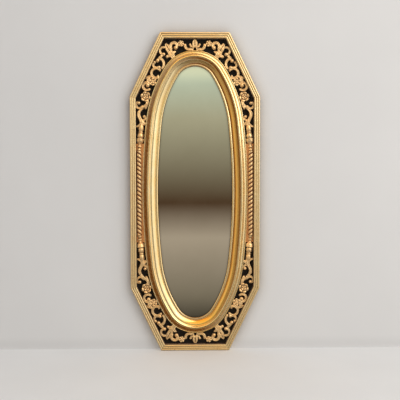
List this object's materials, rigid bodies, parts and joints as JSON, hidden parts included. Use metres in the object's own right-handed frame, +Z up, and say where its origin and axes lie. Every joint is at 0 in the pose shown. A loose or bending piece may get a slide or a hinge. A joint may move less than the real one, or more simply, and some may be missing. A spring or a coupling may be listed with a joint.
{
  "type": "wall mirror",
  "caption": "Tall octagonal gilt wall mirror: reeded mitred rails and an oval moulding joined by a pierced scroll fret with rope columns; hanging rings and turn buttons at the back.",
  "frame": {"origin": "middle of the frame, on the wall plane that the bumpers touch", "axes": "+X to the right seen from the front, +Z up, +Y into the wall; the front faces -Y"},
  "size_m": [0.49, 0.033, 1.204],
  "materials": {
    "gilding": "gilded with a brown glaze in the recesses, satin",
    "mirror": "silvered, polished",
    "back_board": "bare hardboard",
    "steel": "zinc plated",
    "rubber": "matt"
  },
  "bodies": {
    "frame": {"rail_top": "gilding", "rail_top_right": "gilding", "rail_right": "gilding", "rail_bottom_right": "gilding", "rail_bottom": "gilding", "rail_bottom_left": "gilding", "rail_left": "gilding", "rail_top_left": "gilding", "oval_moulding": "gilding", "fleur_top": "gilding", "fleur_bottom": "gilding", "side_web_right": "gilding", "rope_column_right": "gilding", "side_web_left": "gilding", "rope_column_left": "gilding", "corner_scrolls_top_right": "gilding", "corner_scrolls_top_left": "gilding", "corner_scrolls_bottom_right": "gilding", "corner_scrolls_bottom_left": "gilding", "shoulder_scrolls_top_right": "gilding", "shoulder_scrolls_top_left": "gilding", "shoulder_scrolls_bottom_right": "gilding", "shoulder_scrolls_bottom_left": "gilding", "side_scrolls_top_right": "gilding", "side_scrolls_top_left": "gilding", "side_scrolls_bottom_right": "gilding", "side_scrolls_bottom_left": "gilding", "rosette_top_right": "gilding", "rosette_top_left": "gilding", "rosette_bottom_right": "gilding", "rosette_bottom_left": "gilding", "baluster_top_right": "gilding", "baluster_top_left": "gilding", "baluster_bottom_right": "gilding", "baluster_bottom_left": "gilding", "mirror_glass": "mirror", "back_board": "back_board", "hanger_strap_right": "steel", "hanger_strap_left": "steel", "hanger_screws": "steel", "button_screws": "steel", "wall_bumpers": "rubber"},
    "hanging_ring_right": {"hanging_ring_right": "steel"},
    "hanging_ring_left": {"hanging_ring_left": "steel"},
    "turn_button_upper_shoulder_right": {"turn_button_upper_shoulder_right": "steel"},
    "turn_button_lower_shoulder_right": {"turn_button_lower_shoulder_right": "steel"},
    "turn_button_upper_shoulder_left": {"turn_button_upper_shoulder_left": "steel"},
    "turn_button_lower_shoulder_left": {"turn_button_lower_shoulder_left": "steel"},
    "turn_button_upper_side_right": {"turn_button_upper_side_right": "steel"},
    "turn_button_lower_side_right": {"turn_button_lower_side_right": "steel"},
    "turn_button_upper_side_left": {"turn_button_upper_side_left": "steel"},
    "turn_button_lower_side_left": {"turn_button_lower_side_left": "steel"}
  },
  "joints": [
    {"name": "hanging_ring_right_swing", "type": "hinge", "parent": "frame", "child": "hanging_ring_right", "pos_m": [0.15453, -0.0036, 0.31733], "axis": [1, 0, 0], "range_deg": [0, 180]},
    {"name": "hanging_ring_left_swing", "type": "hinge", "parent": "frame", "child": "hanging_ring_left", "pos_m": [-0.15453, -0.0036, 0.31733], "axis": [1, 0, 0], "range_deg": [0, 180]},
    {"name": "turn_button_upper_shoulder_right_turn", "type": "hinge", "parent": "frame", "child": "turn_button_upper_shoulder_right", "pos_m": [0.08651, -0.00595, 0.44069], "axis": [0, 1, 0], "range_deg": [-90, 90]},
    {"name": "turn_button_lower_shoulder_right_turn", "type": "hinge", "parent": "frame", "child": "turn_button_lower_shoulder_right", "pos_m": [0.08651, -0.00595, -0.44069], "axis": [0, 1, 0], "range_deg": [-90, 90]},
    {"name": "turn_button_upper_shoulder_left_turn", "type": "hinge", "parent": "frame", "child": "turn_button_upper_shoulder_left", "pos_m": [-0.08651, -0.00595, 0.44069], "axis": [0, 1, 0], "range_deg": [-90, 90]},
    {"name": "turn_button_lower_shoulder_left_turn", "type": "hinge", "parent": "frame", "child": "turn_button_lower_shoulder_left", "pos_m": [-0.08651, -0.00595, -0.44069], "axis": [0, 1, 0], "range_deg": [-90, 90]},
    {"name": "turn_button_upper_side_right_turn", "type": "hinge", "parent": "frame", "child": "turn_button_upper_side_right", "pos_m": [0.15578, -0.00595, 0.14101], "axis": [0, 1, 0], "range_deg": [-90, 90]},
    {"name": "turn_button_lower_side_right_turn", "type": "hinge", "parent": "frame", "child": "turn_button_lower_side_right", "pos_m": [0.15578, -0.00595, -0.14101], "axis": [0, 1, 0], "range_deg": [-90, 90]},
    {"name": "turn_button_upper_side_left_turn", "type": "hinge", "parent": "frame", "child": "turn_button_upper_side_left", "pos_m": [-0.15578, -0.00595, 0.14101], "axis": [0, 1, 0], "range_deg": [-90, 90]},
    {"name": "turn_button_lower_side_left_turn", "type": "hinge", "parent": "frame", "child": "turn_button_lower_side_left", "pos_m": [-0.15578, -0.00595, -0.14101], "axis": [0, 1, 0], "range_deg": [-90, 90]}
  ]
}
